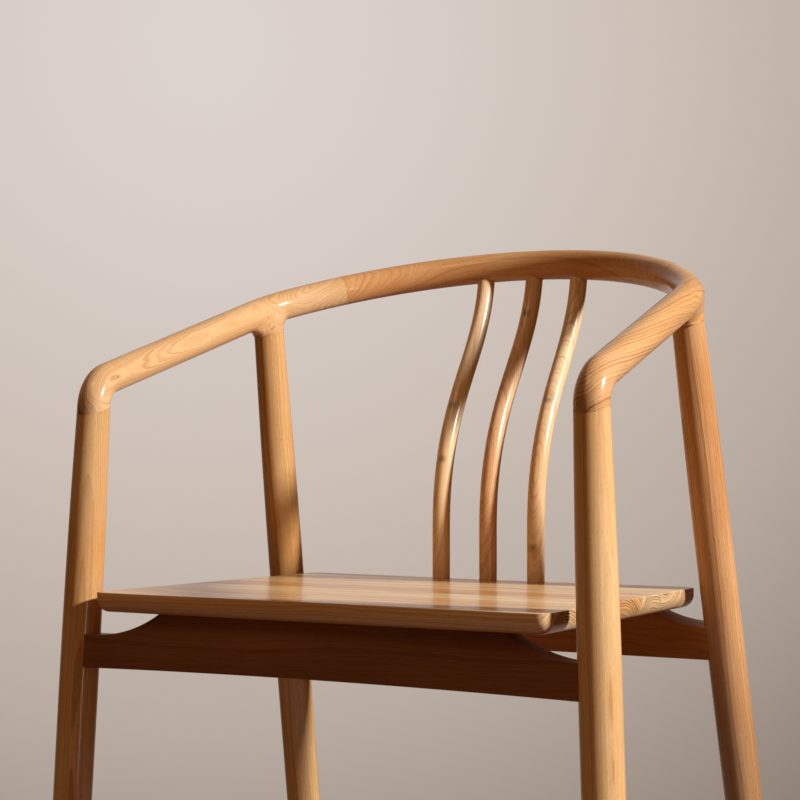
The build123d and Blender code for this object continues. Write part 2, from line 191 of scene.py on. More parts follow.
# ---------------------------------------------------------------- legs
# Four legs of solid hardwood, turned between centres to a long swell and lacquered. The tops are
# sawn to the slope of the bow and glued with a round tenon into its elbows and bosses.
front_foot = Vector((0.2800, -0.1994, 0.0))
back_foot = Vector((0.2550, 0.1933, 0.0))
front_top = Vector((0.2517, -0.1826, 0.6263))          # beside the arm's corner, 2.6 mm inside it
back_top = Vector((0.2264546, 0.0581977, 0.7037044))   # beside the corner bend, as far inside it
elbow_drop = 0.0223            # from there down to the seam
boss_drop = 0.0217
collar = 0.009                 # straight neck under the seam
overrun = 0.030                # the blank runs past both ends before it is sawn
foot_bevel = 0.0015
front_radii = (0.0164, 0.0178, 0.0152)                 # at the foot, the swell and the top
back_radii = (0.0156, 0.0173, 0.0149)
front_swell = 0.360            # distance of the swell from the foot
back_swell = 0.428
leg_rings = 160
leg_sides = 72
seam_arris = 0.0003            # the sawn ends are only just softened
bow_slope = math.radians(17.82)
bow_normal = Vector((0.0, -math.sin(bow_slope), math.cos(bow_slope)))
crisp_turn = math.radians(32.0)        # edges that turn more than this stay crisp

# The turned shape: a straight line given the leg's radius at every ring, then swept with a circle.
turning = bpy.data.node_groups.new("turned_leg", "GeometryNodeTree")
turning.interface.new_socket("Geometry", in_out="INPUT", socket_type="NodeSocketGeometry")
for title, kind in (("Length", "Float"), ("Foot radius", "Float"), ("Swell radius", "Float"),
                    ("Top radius", "Float"), ("Swell place", "Float"), ("Rings", "Int"),
                    ("Sides", "Int"), ("Wood", "Material")):
    turning.interface.new_socket(title, in_out="INPUT", socket_type="NodeSocket" + kind)
turning.interface.new_socket("Geometry", in_out="OUTPUT", socket_type="NodeSocketGeometry")
leg_sizes = add(turning, "NodeGroupInput").outputs
reach = add(turning, "ShaderNodeCombineXYZ", {"Z": leg_sizes["Length"]})
line = add(turning, "GeometryNodeCurvePrimitiveLine", {"End": reach.outputs[0]})
rings = add(turning, "GeometryNodeResampleCurve", {"Curve": line.outputs[0], "Count": leg_sizes["Rings"]})
along = add(turning, "ShaderNodeSeparateXYZ", {0: add(turning, "GeometryNodeInputPosition").outputs[0]})
below = add(turning, "ShaderNodeMapRange", {"Value": along.outputs["Z"], "From Min": leg_sizes["Swell place"],
                                            "From Max": 0.0})
above = add(turning, "ShaderNodeMapRange", {"Value": along.outputs["Z"], "From Min": leg_sizes["Swell place"],
                                            "From Max": leg_sizes["Length"]})
loss = []
for share, end in ((below, "Foot radius"), (above, "Top radius")):
    square = add(turning, "ShaderNodeMath", {0: share.outputs["Result"], 1: 2.0}, operation="POWER")
    lack = add(turning, "ShaderNodeMath", {0: leg_sizes["Swell radius"], 1: leg_sizes[end]},
               operation="SUBTRACT")
    loss.append(add(turning, "ShaderNodeMath", {0: square.outputs[0], 1: lack.outputs[0]},
                    operation="MULTIPLY"))
lost = add(turning, "ShaderNodeMath", {0: loss[0].outputs[0], 1: loss[1].outputs[0]}, operation="ADD")
turned = add(turning, "ShaderNodeMath", {0: leg_sizes["Swell radius"], 1: lost.outputs[0]},
             operation="SUBTRACT")
ring = add(turning, "GeometryNodeCurvePrimitiveCircle", {"Resolution": leg_sizes["Sides"], "Radius": 1.0})
lathe = add(turning, "GeometryNodeCurveToMesh", {"Curve": rings.outputs[0], "Profile Curve": ring.outputs[0],
                                                 "Scale": turned.outputs[0], "Fill Caps": True})
whole_leg = add(turning, "GeometryNodeRealizeInstances", {"Geometry": lathe.outputs[0]})
wooden_leg = add(turning, "GeometryNodeSetMaterial", {"Geometry": whole_leg.outputs[0],
                                                      "Material": leg_sizes["Wood"]})
add(turning, "NodeGroupOutput", {"Geometry": wooden_leg.outputs[0]})


def grown(name, tree, mesh, sizes):
    """Plain mesh that a geometry tree makes from a mesh and named sizes."""
    maker = bpy.data.objects.new(name, mesh)
    scene.collection.objects.link(maker)
    modifier = maker.modifiers.new("shape", "NODES")
    modifier.node_group = tree
    for item in tree.interface.items_tree:
        if item.in_out == "INPUT" and item.name in sizes:
            modifier[item.identifier] = sizes[item.name]
    shape = bpy.data.meshes.new_from_object(maker.evaluated_get(bpy.context.evaluated_depsgraph_get()))
    bpy.data.objects.remove(maker)
    return shape


def cut(mesh, point, outward, arris=0.0, reach=None, lip=0.0):
    """Saws a mesh at a plane, drops what lies outward, closes the cut and softens its edge. With a
    reach it saws only the faces that lie so near the point, and at most a lip behind the plane."""
    work = bmesh.new()
    work.from_mesh(mesh)
    geometry = work.verts[:] + work.edges[:] + work.faces[:]
    if reach:
        offsets = {face: face.calc_center_median() - point for face in work.faces}
        near = [face for face, offset in offsets.items()
                if offset.length < reach and offset.dot(outward) > -lip]
        geometry = list(dict.fromkeys(vert for face in near for vert in face.verts))
        geometry += list(dict.fromkeys(edge for face in near for edge in face.edges)) + near
    sawn = bmesh.ops.bisect_plane(work, geom=geometry, dist=1e-7, plane_co=point, plane_no=outward,
                                  clear_outer=True)
    rim = [e for e in sawn["geom_cut"] if isinstance(e, bmesh.types.BMEdge)]
    for face in bmesh.ops.edgeloop_fill(work, edges=rim)["faces"]:
        face.normal_update()
        if face.normal.dot(outward) < 0:
            face.normal_flip()
    if arris:
        bmesh.ops.bevel(work, geom=rim, offset=arris, segments=2, affect="EDGES", clamp_overlap=True)
    work.to_mesh(mesh)
    work.free()


def finished(name, mesh, node_name, material):
    """Object with its material and crisp or smooth edges, standing for a node of the frame."""
    work = bmesh.new()
    work.from_mesh(mesh)
    for face in work.faces:
        face.smooth = True
        face.material_index = 0
    for edge in work.edges:
        edge.smooth = edge.calc_face_angle(0.0) < crisp_turn
    work.to_mesh(mesh)
    work.free()
    mesh.materials.clear()
    mesh.materials.append(material)
    piece = bpy.data.objects.new(name, mesh)
    scene.collection.objects.link(piece)
    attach(piece, "root")
    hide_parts(node_name)
    return piece


def mirrored(place):
    """The same place or direction on the other side of the chair."""
    return Vector((-place.x, place.y, place.z))


def other_side(mesh, name):
    """Mirrored copy of a mesh, turned the right way out."""
    work = bmesh.new()
    work.from_mesh(mesh)
    bmesh.ops.scale(work, vec=(-1.0, 1.0, 1.0), verts=work.verts)
    bmesh.ops.reverse_faces(work, faces=work.faces)
    twin = bpy.data.meshes.new(name)
    work.to_mesh(twin)
    work.free()
    return twin


# Lacquered hardwood: growth rings about a pith that lies outside the stick, bent by slow waves,
# with fine fibres, short dark pores and a slow drift of tone. It is cut through as real wood is,
# so a curved piece shows straight grain, arches and end grain where the saw crossed them.
wood = bpy.data.node_groups.new("hardwood_figure", "ShaderNodeTree")
for title, kind in (("Place", "Vector"), ("Ring width", "Float"), ("Figure", "Float"),
                    ("Ring depth", "Float"), ("Light", "Color"), ("Middle", "Color"), ("Dark", "Color")):
    wood.interface.new_socket(title, in_out="INPUT", socket_type="NodeSocket" + kind)
for title, kind in (("Colour", "Color"), ("Height", "Float"), ("Roughness", "Float"), ("Late wood", "Float")):
    wood.interface.new_socket(title, in_out="OUTPUT", socket_type="NodeSocket" + kind)
stick = add(wood, "NodeGroupInput").outputs
place = stick["Place"]
# slow waves about 45 mm across and fine ones about 11 mm, five times longer along the grain
waves = ((22.0, 1.0), (90.0, 0.16))        # how many in a metre, and their share of the figure
wave_stretch = (1.0, 1.0, 0.2)
mid_grey = (0.5, 0.5, 0.5)
for scale, share in waves:
    drawn = add(wood, "ShaderNodeVectorMath", {0: stick["Place"], 1: wave_stretch}, operation="MULTIPLY")
    wave = add(wood, "ShaderNodeTexNoise", {"Vector": drawn.outputs[0], "Scale": scale, "Detail": 1.5})
    level = add(wood, "ShaderNodeVectorMath", {0: wave.outputs["Color"], 1: mid_grey}, operation="SUBTRACT")
    size_here = add(wood, "ShaderNodeMath", {0: stick["Figure"], 1: share}, operation="MULTIPLY")
    push = add(wood, "ShaderNodeVectorMath", {0: level.outputs[0], "Scale": size_here.outputs[0]},
               operation="SCALE")
    place = add(wood, "ShaderNodeVectorMath", {0: place, 1: push.outputs[0]}, operation="ADD").outputs[0]
across = add(wood, "ShaderNodeVectorMath", {0: place, 1: (1.0, 1.0, 0.0)}, operation="MULTIPLY")
from_pith = add(wood, "ShaderNodeVectorMath", {0: across.outputs[0]}, operation="LENGTH").outputs["Value"]
years = add(wood, "ShaderNodeMath", {0: from_pith, 1: stick["Ring width"]}, operation="DIVIDE")
# good and bad years follow each other, so some rings are wide and others narrow
season_change = 0.45           # changes in a year
season_swing = 2.6             # years' widths that they add up to
seasons = add(wood, "ShaderNodeTexNoise", {"W": years.outputs[0], "Scale": season_change, "Detail": 1.0},
              noise_dimensions="1D")
uneven = add(wood, "ShaderNodeMath", {0: seasons.outputs["Fac"], 1: season_swing, 2: years.outputs[0]},
             operation="MULTIPLY_ADD")
year = add(wood, "ShaderNodeMath", {0: uneven.outputs[0]}, operation="FLOOR")
season = add(wood, "ShaderNodeMath", {0: uneven.outputs[0]}, operation="FRACT")
# within a year the wood darkens slowly and then breaks off, and no two years are equally dark
rise = add(wood, "ShaderNodeMapRange", {"Value": season.outputs[0], "From Min": 0.25, "From Max": 0.88},
           interpolation_type="SMOOTHSTEP")
drop = add(wood, "ShaderNodeMapRange", {"Value": season.outputs[0], "From Min": 1.0, "From Max": 0.90},
           interpolation_type="SMOOTHSTEP")
late_part = add(wood, "ShaderNodeMath", {0: rise.outputs[0], 1: drop.outputs[0]}, operation="MULTIPLY")
luck = add(wood, "ShaderNodeTexWhiteNoise", {"W": year.outputs[0]}, noise_dimensions="1D")
some = add(wood, "ShaderNodeMapRange", {"Value": luck.outputs["Value"], "To Min": 0.25, "To Max": 1.0})
year_line = add(wood, "ShaderNodeMath", {0: late_part.outputs[0], 1: some.outputs[0]},
                operation="MULTIPLY").outputs[0]
late = add(wood, "ShaderNodeMath", {0: year_line, 1: stick["Ring depth"]}, operation="MULTIPLY")
# fibres about 0.7 mm apart, pores about 0.5 mm across, drawn a little coarse so that they show, and a
# drift of tone about 60 mm across, each with its squeeze along the grain, how many in a metre, and detail
strand_kinds = ((0.03, 1400.0, 2.0), (0.10, 1900.0, 0.0), (0.35, 16.0, 2.0))
strands = []
for squeeze, scale, detail in strand_kinds:
    drawn = add(wood, "ShaderNodeVectorMath", {0: stick["Place"], 1: (1.0, 1.0, squeeze)},
                operation="MULTIPLY")
    strands.append(add(wood, "ShaderNodeTexNoise", {"Vector": drawn.outputs[0], "Scale": scale,
                                                    "Detail": detail}).outputs["Fac"])
fibre, speck, drift = strands
pore = add(wood, "ShaderNodeMapRange", {"Value": speck, "From Min": 0.64, "From Max": 0.76},
           interpolation_type="SMOOTHSTEP")
soft_drift = add(wood, "ShaderNodeMapRange", {"Value": drift, "From Min": 0.32, "From Max": 0.68,
                                              "To Min": 0.0, "To Max": 0.75})
soft_fibre = add(wood, "ShaderNodeMapRange", {"Value": fibre, "From Min": 0.3, "From Max": 0.7,
                                              "To Min": -0.12, "To Max": 0.22})
warmth = add(wood, "ShaderNodeMath", {0: soft_drift.outputs[0], 1: soft_fibre.outputs[0]}, operation="ADD",
             use_clamp=True)
ground = add(wood, "ShaderNodeMix", {"Factor": warmth.outputs[0], 6: stick["Light"], 7: stick["Middle"]},
             data_type="RGBA")
pore_depth = 0.24              # how dark a pore is beside a whole ring
depth = add(wood, "ShaderNodeMath", {0: pore.outputs[0], 1: pore_depth, 2: late.outputs[0]},
            operation="MULTIPLY_ADD", use_clamp=True)
grain = add(wood, "ShaderNodeMix", {"Factor": depth.outputs[0], 6: ground.outputs[2], 7: stick["Dark"]},
            data_type="RGBA")
low_pores = add(wood, "ShaderNodeMath", {0: pore.outputs[0], 1: -1.0, 2: fibre}, operation="MULTIPLY_ADD")
dulled = add(wood, "ShaderNodeMapRange", {"Value": depth.outputs[0], "To Min": 0.34, "To Max": 0.46})
add(wood, "NodeGroupOutput", {"Colour": grain.outputs[2], "Height": low_pores.outputs[0],
                              "Roughness": dulled.outputs[0], "Late wood": year_line})


def near_spot(tree, object_place, spot, spot_radius):
    """One at a spot, falling to nothing at its radius."""
    gap = add(tree, "ShaderNodeVectorMath", {0: object_place, 1: tuple(spot)}, operation="DISTANCE")
    return add(tree, "ShaderNodeMapRange", {"Value": gap.outputs["Value"], "From Min": spot_radius,
                                            "From Max": 0.0}, interpolation_type="SMOOTHSTEP").outputs[0]


burl_scale = 70.0              # curls about 14 mm across
burl_pull = 0.030
end_grain_start = 0.62         # cosine between the skin and the grain from which the end grain shows
end_grain_full = 0.97
end_grain_tone = "4c240e"
# tone of the knots, also of the broad dark spots that paint shade
knot_and_shade_tone = "3c1c0c"
fibre_relief = 0.0001          # 0.1 mm between fibres and pores, of which the lacquer fills three quarters
relief_left = 0.25
lacquer_ior = 1.5
under_lacquer = 0.10           # the wood itself hardly shines


def lacquered(name, grain_way, pith, tones, ring_width=0.0022, figure=0.010, ring_depth=0.55, knots_and_shade=(),
              knot_and_shade_depth=0.85, burls=(), end_grain=0.75, gloss=0.13, coat=0.7):
    """Sawn, sanded and lacquered hardwood. The grain runs along grain_way past a pith point. Where the
    saw crossed it, the end grain has drunk the lacquer and is darker. The dark spots are knots where
    small, while broad ones are painted shade, partly also darker heartwood. Burls curl the grain; each is a
    list of places with radii."""
    material = bpy.data.materials.new(name)
    material.use_nodes = True
    tree = material.node_tree
    here = add(tree, "ShaderNodeTexCoord")
    object_place = here.outputs["Object"]
    curled_place = object_place
    for spot, spot_radius in burls:
        curl = add(tree, "ShaderNodeTexNoise", {"Vector": object_place, "Scale": burl_scale, "Detail": 1.0})
        curl_level = add(tree, "ShaderNodeVectorMath", {0: curl.outputs["Color"], 1: mid_grey},
                         operation="SUBTRACT")
        pull = add(tree, "ShaderNodeMath", {0: near_spot(tree, object_place, spot, spot_radius),
                                            1: burl_pull}, operation="MULTIPLY")
        bent = add(tree, "ShaderNodeVectorMath", {0: curl_level.outputs[0], "Scale": pull.outputs[0]},
                   operation="SCALE")
        curled_place = add(tree, "ShaderNodeVectorMath", {0: curled_place, 1: bent.outputs[0]},
                           operation="ADD").outputs[0]
    grain_line = Vector(grain_way).normalized()
    grain_turn = Vector(grain_way).to_track_quat("Z", "Y").to_euler()
    placed = add(tree, "ShaderNodeMapping", {"Vector": curled_place, "Location": tuple(pith),
                                             "Rotation": tuple(grain_turn)}, vector_type="TEXTURE")
    figure_node = add(tree, "ShaderNodeGroup", node_tree=wood)
    tree.links.new(placed.outputs[0], figure_node.inputs["Place"])
    light, middle, dark = [colour(code) for code in tones]
    for title, value in (("Ring width", ring_width), ("Figure", figure), ("Ring depth", ring_depth),
                         ("Light", light), ("Middle", middle), ("Dark", dark)):
        figure_node.inputs[title].default_value = value
    facing = add(tree, "ShaderNodeVectorMath", {0: here.outputs["Normal"], 1: tuple(grain_line)},
                 operation="DOT_PRODUCT")
    squareness = add(tree, "ShaderNodeMath", {0: facing.outputs["Value"]}, operation="ABSOLUTE")
    end_on = add(tree, "ShaderNodeMapRange", {"Value": squareness.outputs[0], "From Min": end_grain_start,
                                              "From Max": end_grain_full, "To Max": end_grain},
                 interpolation_type="SMOOTHSTEP").outputs[0]
    lines = add(tree, "ShaderNodeMath", {0: figure_node.outputs["Late wood"], 1: 0.75, 2: 0.25},
                operation="MULTIPLY_ADD")
    drunk = add(tree, "ShaderNodeMath", {0: end_on, 1: lines.outputs[0]}, operation="MULTIPLY")
    shade = add(tree, "ShaderNodeMix", {"Factor": drunk.outputs[0], 6: figure_node.outputs["Colour"],
                                        7: colour(end_grain_tone)}, data_type="RGBA").outputs[2]
    # dark spots: small ones are knots, broad ones are painted shade, partly also darker heartwood
    for spot, spot_radius in knots_and_shade:
        darkness = add(tree, "ShaderNodeMath", {0: near_spot(tree, object_place, spot, spot_radius),
                                                1: knot_and_shade_depth}, operation="MULTIPLY")
        shade = add(tree, "ShaderNodeMix", {"Factor": darkness.outputs[0], 6: shade, 7: colour(knot_and_shade_tone)},
                    data_type="RGBA").outputs[2]
    shader = tree.nodes["Principled BSDF"]
    relief = add(tree, "ShaderNodeBump", {"Height": figure_node.outputs["Height"],
                                          "Strength": relief_left, "Distance": fibre_relief})
    tree.links.new(shade, shader.inputs["Base Color"])
    tree.links.new(figure_node.outputs["Roughness"], shader.inputs["Roughness"])
    tree.links.new(relief.outputs[0], shader.inputs["Normal"])
    for socket, value in (("IOR", lacquer_ior), ("Specular IOR Level", under_lacquer), ("Coat Weight", coat),
                          ("Coat Roughness", gloss), ("Coat IOR", lacquer_ior)):
        shader.inputs[socket].default_value = value
    return material


honey = ("f3c890", "db9f5c", "a4622a")
golden = ("f3c68c", "d99e56", "9c5a24")
reddish = ("edbb86", "ca894e", "84461e")
leg_coat = 0.5                 # a thinner coat than the bow's
front_grain, back_grain = front_top - front_foot, back_top - back_foot
leg_kinds = (("front_right_leg", front_grain, (0.330, -0.235, 0.0), honey, {"ring_depth": 0.40}),
             ("front_left_leg", mirrored(front_grain), (-0.238, -0.260, 0.0), honey, {}),
             # the back right leg's broad dark spot darkens it towards the foot, partly as the wood's own
             # drift of tone and partly as painted shade where less light reaches low down
             ("back_right_leg", back_grain, (0.215, 0.150, 0.0), reddish,
              {"knots_and_shade": (((0.2513, 0.155, 0.160), 0.34),), "knot_and_shade_depth": 0.45}),
             ("back_left_leg", mirrored(back_grain), (-0.300, 0.150, 0.0), golden, {}))
leg_woods = {leg: lacquered("lacquered_" + leg, grain, pith, tones, coat=leg_coat, **more)
             for leg, grain, pith, tones, more in leg_kinds}
leg_shapes = {}
for end, foot, top, seam_drop, (foot_radius, swell_radius, top_radius), swell in (
        ("front", front_foot, front_top, elbow_drop, front_radii, front_swell),
        ("back", back_foot, back_top, boss_drop, back_radii, back_swell)):
    up = (top - foot).normalized()
    seam = top - up * seam_drop
    shaft_length = (seam - foot).length - collar
    sizes = {"Length": shaft_length, "Foot radius": foot_radius, "Swell radius": swell_radius,
             "Top radius": top_radius, "Swell place": swell, "Rings": leg_rings, "Sides": leg_sides,
             "Wood": leg_woods[end + "_right_leg"]}
    shape = grown(end + "_leg_shape", turning, bpy.data.meshes.new("blank"), sizes)
    # the straight neck above the collar and the stub below the floor are drawn out from the caps
    work = bmesh.new()
    work.from_mesh(shape)
    for cap in [f for f in work.faces if len(f.verts) > 4]:
        way = 1.0 if cap.calc_center_median().z > shaft_length / 2 else -1.0
        moved = bmesh.ops.extrude_face_region(work, geom=[cap])["geom"]
        bmesh.ops.translate(work, vec=(0.0, 0.0, way * overrun),
                            verts=[v for v in moved if isinstance(v, bmesh.types.BMVert)])
        work.faces.remove(cap)
    work.to_mesh(shape)
    work.free()
    side = (Vector((1, 0, 0)) - up * up.x).normalized()
    lean = Matrix((side, up.cross(side), up)).transposed().to_4x4()
    shape.transform(Matrix.Translation(foot) @ lean)
    cut(shape, seam, bow_normal, seam_arris)
    cut(shape, Vector((0, 0, 0)), Vector((0, 0, -1)), foot_bevel)
    leg_shapes[end] = shape
    finished(end + "_right_leg_turned", shape, end + "_right_leg", leg_woods[end + "_right_leg"])
    finished(end + "_left_leg_turned", other_side(shape, end + "_left_leg_shape"), end + "_left_leg",
             leg_woods[end + "_left_leg"])


# ---------------------------------------------------------------- aprons
# Two boards between the legs, sawn to a raised middle with a scoop at each end. The ends are scribed
# to the round legs, and two screws go up through each into the seat.
seat_height = 0.440
seat_thickness = 0.018
apron_thickness = 0.024
apron_arris = 0.0009
under_seat = seat_height - seat_thickness
screw_reach = 0.110
screw_grip = 0.020
bore_radius = 0.005
bore_length = 0.080
scoop_steps = 20
arch_steps = 40
front_apron_sizes = {"depth": 0.0523, "arch": 0.003, "horn_drop": 0.0217, "scoop": 0.130, "reach": 0.245,
                     "shift": 0.008}
back_apron_sizes = {"depth": 0.0451, "arch": 0.0, "horn_drop": 0.0150, "scoop": 0.100, "reach": 0.222,
                    "shift": 0.0}


def modified(mesh, kind, **settings):
    """Mesh changed by one modifier."""
    holder = bpy.data.objects.new("holder", mesh)
    scene.collection.objects.link(holder)
    modifier = holder.modifiers.new("change", kind)
    for name, value in settings.items():
        setattr(modifier, name, value)
    shape = bpy.data.meshes.new_from_object(holder.evaluated_get(bpy.context.evaluated_depsgraph_get()))
    bpy.data.objects.remove(holder)
    return shape


def carved_away(mesh, tool_mesh):
    """Mesh from which the shape of a tool is cut away."""
    tool = bpy.data.objects.new("tool", tool_mesh)
    scene.collection.objects.link(tool)
    shape = modified(mesh, "BOOLEAN", operation="DIFFERENCE", solver="EXACT", object=tool)
    bpy.data.objects.remove(tool)
    return shape


def apron_board(name, foot, top, depth, arch, horn_drop, scoop, reach, shift, cutters):
    """Board in the plane of its two legs, softened along its edges, scribed and counterbored."""
    up = (top - foot).normalized()
    rake = Vector((0, up.y, up.z)).normalized()
    stretch = 1 / rake.z
    # levels are measured along the raked board
    top_level, low_level, horn_level = [height * stretch for height in
                                        (under_seat, under_seat - depth, under_seat - horn_drop)]

    def leg_line(level):
        """Distance of the leg's centre line from the middle."""
        return foot.x + (top.x - foot.x) * level / stretch / top.z

    scoop_turn = math.acos(1 - (top_level - horn_level) / scoop)
    scoops = [[], []]
    for number, way in enumerate((-1, 1)):
        for step in range(scoop_steps + 1):
            angle = scoop_turn * step / scoop_steps
            scoops[number].append((shift + way * (reach - scoop * math.sin(angle)),
                                   horn_level + scoop * (1 - math.cos(angle))))
    low_end = leg_line(low_level)
    horn_end = leg_line(horn_level)
    outline = [(-low_end, low_level), (-horn_end, horn_level)] + scoops[0] + scoops[1][::-1]
    outline += [(horn_end, horn_level), (low_end, low_level)]
    if arch:
        for step in range(1, arch_steps):
            share = step / arch_steps
            outline.append((low_end * (1 - 2 * share), low_level + arch * 4 * share * (1 - share)))
    front_way = Vector((1, 0, 0)).cross(rake)
    origin = Vector((0, foot.y, 0))
    work = bmesh.new()
    rim = [work.verts.new(origin + Vector((x, 0, 0)) + rake * level + front_way * (apron_thickness / 2))
           for x, level in outline]
    face = work.faces.new(rim)
    moved = bmesh.ops.extrude_face_region(work, geom=[face])["geom"]
    bmesh.ops.translate(work, vec=front_way * -apron_thickness,
                        verts=[v for v in moved if isinstance(v, bmesh.types.BMVert)])
    bmesh.ops.recalc_face_normals(work, faces=work.faces)
    long_edges = [e for e in work.edges if e.calc_face_angle(0.0) > crisp_turn]
    bmesh.ops.bevel(work, geom=long_edges, offset=apron_arris, segments=3, affect="EDGES", profile=0.5,
                    clamp_overlap=True)
    mesh = bpy.data.meshes.new(name)
    work.to_mesh(mesh)
    work.free()
    cut(mesh, Vector((0, 0, under_seat)), Vector((0, 0, 1)))
    bores = []
    for way in (-1, 1):
        bore_top = origin + Vector((way * screw_reach, 0, 0)) + rake * (top_level - screw_grip)
        bore = bmesh.new()
        bmesh.ops.create_cone(bore, cap_ends=True, segments=40, radius1=bore_radius, radius2=bore_radius,
                              depth=bore_length)
        bore_mesh = bpy.data.meshes.new("bore")
        bore.to_mesh(bore_mesh)
        bore.free()
        bore_mesh.transform(Matrix.Translation(bore_top - rake * (bore_length / 2))
                            @ rake.to_track_quat("Z", "Y").to_matrix().to_4x4())
        bores.append(bore_mesh)
    for tool_mesh in cutters + bores:
        mesh = carved_away(mesh, tool_mesh)
    return mesh


# the front apron is far darker than the back one: painted shade, standing for the shade under the seat's
# overhang on its front face
front_apron_painted_shade_tones = ("a26f4a", "865234", "5c321e")
back_apron_tones = ("da9858", "c07a3a", "7e441c")
apron_figure = {"ring_width": 0.0040, "figure": 0.018, "ring_depth": 0.40, "gloss": 0.25, "coat": 0.06}
for end, foot, top, sizes, grain, pith, tones in (
        ("front", front_foot, front_top, front_apron_sizes, (1, 0, 0.02), (0.0, -0.16, 0.31),
         front_apron_painted_shade_tones),
        ("back", back_foot, back_top, back_apron_sizes, (1, 0, -0.02), (0.0, 0.20, 0.46),
         back_apron_tones)):
    apron_name = end + "_apron"
    apron_wood = lacquered("lacquered_" + apron_name, grain, pith, tones, **apron_figure)
    legs = [leg_shapes[end].copy(), other_side(leg_shapes[end], "scribe")]
    shape = apron_board(apron_name, foot, top, cutters=legs, **sizes)
    finished(apron_name + "_board", shape, apron_name, apron_wood)

# Zinc plated steel screws in the counterbores: rolled and plated, with a faint haze about 1 mm across.
haze_scale = 900.0
zinc = bpy.data.materials.new("zinc_plated_steel")
zinc.use_nodes = True
plating = zinc.node_tree
haze = add(plating, "ShaderNodeTexNoise", {"Vector": add(plating, "ShaderNodeTexCoord").outputs["Object"],
                                           "Scale": haze_scale, "Detail": 3.0})
haze_range = add(plating, "ShaderNodeMapRange", {"Value": haze.outputs["Fac"], "To Min": 0.28, "To Max": 0.5})
bloom = add(plating, "ShaderNodeValToRGB", {"Fac": haze.outputs["Fac"]})
bloom.color_ramp.elements[0].color = colour("a9abb0")
bloom.color_ramp.elements[1].color = colour("c9cacb")
steel = plating.nodes["Principled BSDF"]
steel.inputs["Metallic"].default_value = 1.0
plating.links.new(haze_range.outputs["Result"], steel.inputs["Roughness"])
plating.links.new(bloom.outputs["Color"], steel.inputs["Base Color"])
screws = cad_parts["seat_screws"]
screws.data.materials.clear()
screws.data.materials.append(zinc)


# ---------------------------------------------------------------- seat
# Seven boards glued edge to edge into one slab, side to side, narrower at the back. The lower edges
# are rounded all round, the upper ones only softened, and the four corners are rounded off; each
# board keeps its own tone.
seat_front = -0.2143
seat_front_width = 0.4596
seat_back_width = 0.4206
board_widths = (0.053, 0.047, 0.047, 0.052, 0.045, 0.045, 0.046)
seat_edge_radius = 0.012
seat_arris = 0.0008
seat_corner_radius = 0.011     # seen from above
least_turn = 0.0004            # a corner is never quite sharp
flat_rim = 0.0005              # the flat faces begin this far inside the rounded edges
edge_steps = 10
arris_steps = 4
corner_steps = 8
pith_below, pith_above = 0.402, 0.478      # heights of the boards' piths, outside the slab
seat_back = seat_front + sum(board_widths)
corners = [Vector((-seat_front_width / 2, seat_front)), Vector((seat_front_width / 2, seat_front)),
           Vector((seat_back_width / 2, seat_back)), Vector((-seat_back_width / 2, seat_back))]


def seat_ring(inset):
    """The seat's outline moved inwards, with its corners rounded."""
    turn_radius = max(seat_corner_radius - inset, least_turn)
    moved = []
    for number, corner in enumerate(corners):
        before = (corner - corners[number - 1]).normalized()
        after = (corners[(number + 1) % 4] - corner).normalized()
        inwards = (after - before).normalized()
        centre = corner + inwards * ((inset + turn_radius) / abs(inwards.cross(after)))
        out_before, out_after = Vector((before.y, -before.x)), Vector((after.y, -after.x))
        bend_angle = out_before.angle(out_after)
        for step in range(corner_steps + 1):
            turned_by = bend_angle * step / corner_steps
            outwards = out_before * math.sin(bend_angle - turned_by) + out_after * math.sin(turned_by)
            moved.append(centre + outwards * (turn_radius / math.sin(bend_angle)))
    return moved


profile = [(seat_edge_radius + flat_rim, 0.0)]
for step in range(edge_steps + 1):
    angle = math.pi / 2 * step / edge_steps
    profile.append((seat_edge_radius * (1 - math.sin(angle)), seat_edge_radius * (1 - math.cos(angle))))
for step in range(arris_steps + 1):
    angle = math.pi / 2 * step / arris_steps
    profile.append((seat_arris * (1 - math.cos(angle)), seat_thickness - seat_arris * (1 - math.sin(angle))))
profile.append((seat_arris + flat_rim, seat_thickness))
slab = bmesh.new()
loops = [[slab.verts.new((point.x, point.y, under_seat + height)) for point in seat_ring(inset)]
         for inset, height in profile]
for lower, upper in zip(loops, loops[1:]):
    for number in range(len(lower)):
        following = (number + 1) % len(lower)
        slab.faces.new((lower[number], lower[following], upper[following], upper[number]))
slab.faces.new(loops[0][::-1])
slab.faces.new(loops[-1])
slab_mesh = bpy.data.meshes.new("seat_slab")
slab.to_mesh(slab_mesh)
slab.free()
seat_tones = (("fad3a0", "eeb87a", "ae6c36"), ("f8d29a", "eab674", "b06e32"),      # front to back
              ("fde0ae", "f6cc8c", "c88a4c"), ("f2bd80", "dd9d5c", "9a572a"),
              ("fad7a4", "efbf80", "b4743a"), ("fbd9a6", "f0c182", "b5763a"),
              ("fad2a0", "ecb87c", "aa6c36"))
seat_figure = {"ring_width": 0.0026, "figure": 0.009, "ring_depth": 0.7, "end_grain": 0.9, "gloss": 0.16,
               "coat": 0.36}
edge = seat_front
for number, (width, tones) in enumerate(zip(board_widths, seat_tones), start=1):
    shape = slab_mesh.copy()
    if number > 1:
        cut(shape, Vector((0, edge, 0)), Vector((0, -1, 0)))
    if number < len(board_widths):
        cut(shape, Vector((0, edge + width, 0)), Vector((0, 1, 0)))
    board_name = "seat_board_" + str(number)
    # neighbours come from other places in the trunk, so their grain and piths differ
    grain = (1, 0.012 * (-1) ** number, 0.004 * number - 0.012)
    pith = (0.0, edge + width * (0.2 + 0.6 * (number % 2)), pith_below if number % 3 else pith_above)
    board_wood = lacquered("lacquered_" + board_name, grain, pith, tones, **seat_figure)
    finished(board_name + "_planed", shape, board_name, board_wood)
    edge += width


